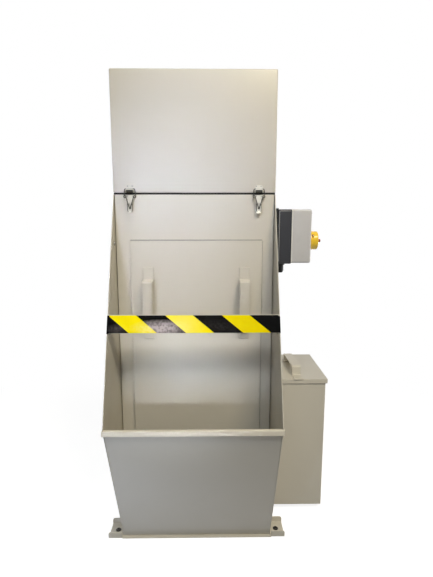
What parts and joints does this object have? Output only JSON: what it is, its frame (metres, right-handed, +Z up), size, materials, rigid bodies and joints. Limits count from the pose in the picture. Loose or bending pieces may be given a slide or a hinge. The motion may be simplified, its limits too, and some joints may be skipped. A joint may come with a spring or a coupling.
{
  "type": "wet dust collector",
  "caption": "Sheet-metal wet dust collector: winged column over a water trough, striped guard bar, latched fan housing, lift-off access panel, side tank and rotary switch box.",
  "frame": {"origin": "on the floor, at the middle of the rectangle of the four floor bolt holes", "axes": "+Z up, -Y to the front where the trough and wings are, +X to the side with the switch box and tank"},
  "size_m": [0.929, 0.859, 1.84],
  "materials": {
    "body_paint": "warm pale grey powder coat, semi-gloss",
    "hazard_tape": "yellow and black diagonal stripes, glossy film",
    "zinc_plate": "bright zinc plate",
    "black_rubber": "matt black cellular rubber",
    "black_plastic": "matt black",
    "dark_grey_plastic": "dark grey moulding",
    "light_grey_plastic": "light grey moulding",
    "yellow_plastic": "yellow moulding",
    "red_plastic": "red moulding"
  },
  "bodies": {
    "collector": {"front_foot": "body_paint", "rear_foot": "body_paint", "left_side_plate": "body_paint", "right_side_plate": "body_paint", "back_wall": "body_paint", "front_wall_upper": "body_paint", "front_wall_left": "body_paint", "front_wall_right": "body_paint", "front_wall_lower": "body_paint", "trough_front": "body_paint", "trough_rim": "body_paint", "trough_floor": "body_paint", "hazard_bar": "hazard_tape", "bar_brackets": "body_paint", "seam_gasket": "black_rubber", "housing_front": "body_paint", "housing_left": "body_paint", "housing_right": "body_paint", "housing_back": "body_paint", "housing_top": "body_paint", "exhaust_collar": "body_paint", "keeper_left": "zinc_plate", "latch_base_left": "zinc_plate", "keeper_right": "zinc_plate", "latch_base_right": "zinc_plate", "switch_spacer": "black_plastic", "switch_base": "dark_grey_plastic", "switch_cover": "light_grey_plastic", "switch_gland": "black_plastic", "switch_collar": "yellow_plastic", "tank_front": "body_paint", "tank_back": "body_paint", "tank_outer": "body_paint", "tank_floor": "body_paint"},
    "access_panel": {"access_panel": "body_paint", "panel_seal": "black_rubber", "panel_handle_left": "body_paint", "panel_handle_right": "body_paint"},
    "tank_lid": {"tank_lid": "body_paint", "tank_handle": "body_paint"},
    "switch_grip": {"switch_grip": "red_plastic"},
    "latch_lever_left": {"latch_lever_left": "zinc_plate"},
    "latch_bail_left": {"latch_bail_left": "zinc_plate"},
    "latch_lever_right": {"latch_lever_right": "zinc_plate"},
    "latch_bail_right": {"latch_bail_right": "zinc_plate"}
  },
  "joints": [
    {"name": "access_panel_pull", "type": "slide", "parent": "collector", "child": "access_panel", "axis": [0, -1, 0], "range_m": [0, 0.07]},
    {"name": "tank_lid_lift", "type": "slide", "parent": "collector", "child": "tank_lid", "axis": [0, 0, 1], "range_m": [0, 0.25]},
    {"name": "switch_turn", "type": "hinge", "parent": "collector", "child": "switch_grip", "pos_m": [0.473, -0.22, 1.224], "axis": [1, 0, 0], "range_deg": [0, 90]},
    {"name": "latch_left_lever", "type": "hinge", "parent": "collector", "child": "latch_lever_left", "pos_m": [-0.241, -0.259, 1.372], "axis": [-1, 0, 0], "range_deg": [0, 90]},
    {"name": "latch_left_bail", "type": "hinge", "parent": "latch_lever_left", "child": "latch_bail_left", "pos_m": [-0.241, -0.259, 1.345], "axis": [-1, 0, 0], "range_deg": [-69, 0]},
    {"name": "latch_right_lever", "type": "hinge", "parent": "collector", "child": "latch_lever_right", "pos_m": [0.241, -0.259, 1.372], "axis": [-1, 0, 0], "range_deg": [0, 90]},
    {"name": "latch_right_bail", "type": "hinge", "parent": "latch_lever_right", "child": "latch_bail_right", "pos_m": [0.241, -0.259, 1.345], "axis": [-1, 0, 0], "range_deg": [-69, 0]}
  ],
  "couplings": [
    {"joint": "latch_left_bail", "follows": "latch_left_lever", "ratio": -0.76},
    {"joint": "latch_right_bail", "follows": "latch_right_lever", "ratio": -0.76}
  ]
}
